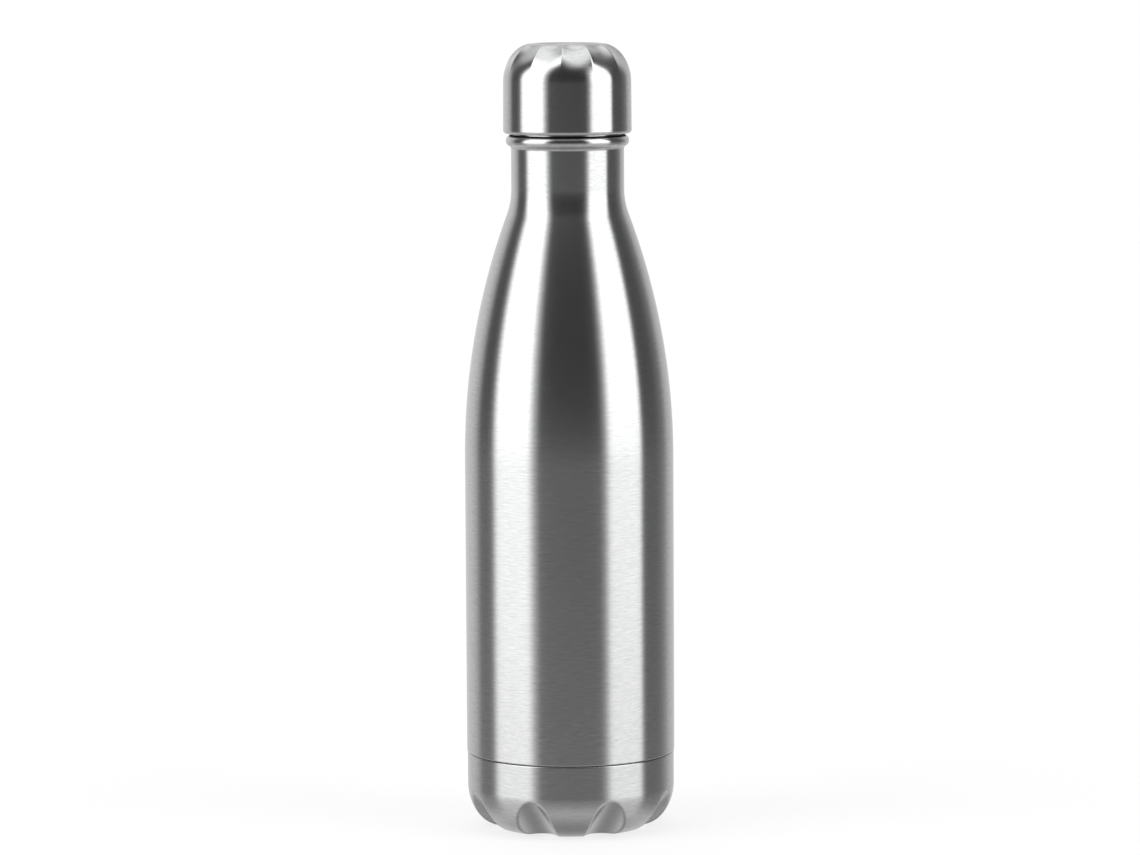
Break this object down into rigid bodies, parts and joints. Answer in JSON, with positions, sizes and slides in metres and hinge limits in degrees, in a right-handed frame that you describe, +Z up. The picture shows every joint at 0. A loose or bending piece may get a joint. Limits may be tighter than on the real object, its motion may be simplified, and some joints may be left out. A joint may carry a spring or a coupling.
{
  "type": "insulated water bottle",
  "caption": "Double-walled steel bottle with a long tapering shoulder, a scooped petal-foot base cup and a fluted screw cap whose threaded plug seals the neck.",
  "frame": {"origin": "on the bottle's axis, at the level of the surface that the feet stand on", "axes": "+Z up along the bottle's axis; a foot of the base cup points along -Y and another along +X"},
  "size_m": [0.07, 0.07, 0.2634],
  "materials": {
    "brushed_steel": "brushed round the axis, satin",
    "inner_steel": "as rolled, electropolished",
    "copper": "bright foil",
    "solder_glass": "glossy, fused",
    "getter": "sintered, matt",
    "moulding": "moulded, satin",
    "foam": "closed-cell foam",
    "silicone": "satin, slightly translucent"
  },
  "bodies": {
    "flask": {"outer_shell": "brushed_steel", "liner": "inner_steel", "liner_bottom": "inner_steel", "copper_foil": "copper", "vacuum_base": "inner_steel", "solder_glass": "solder_glass", "getter_holder": "inner_steel", "getter_pellet": "getter", "base_cup": "brushed_steel"},
    "seal": {"cap_seal": "silicone"},
    "cap": {"cap_shell": "brushed_steel", "cap_core": "moulding", "cap_foam": "foam", "plug_end": "moulding"}
  },
  "joints": [
    {"name": "cap_rise", "type": "slide", "parent": "flask", "child": "seal", "axis": [0, 0, 1], "range_m": [0, 0.02701]},
    {"name": "cap_turn", "type": "hinge", "parent": "seal", "child": "cap", "pos_m": [0, 0, 0.2383], "axis": [0, 0, 1], "range_deg": [0, 2160]}
  ],
  "couplings": [
    {"joint": "cap_rise", "follows": "cap_turn", "m_per_rad": 0.0007162}
  ]
}
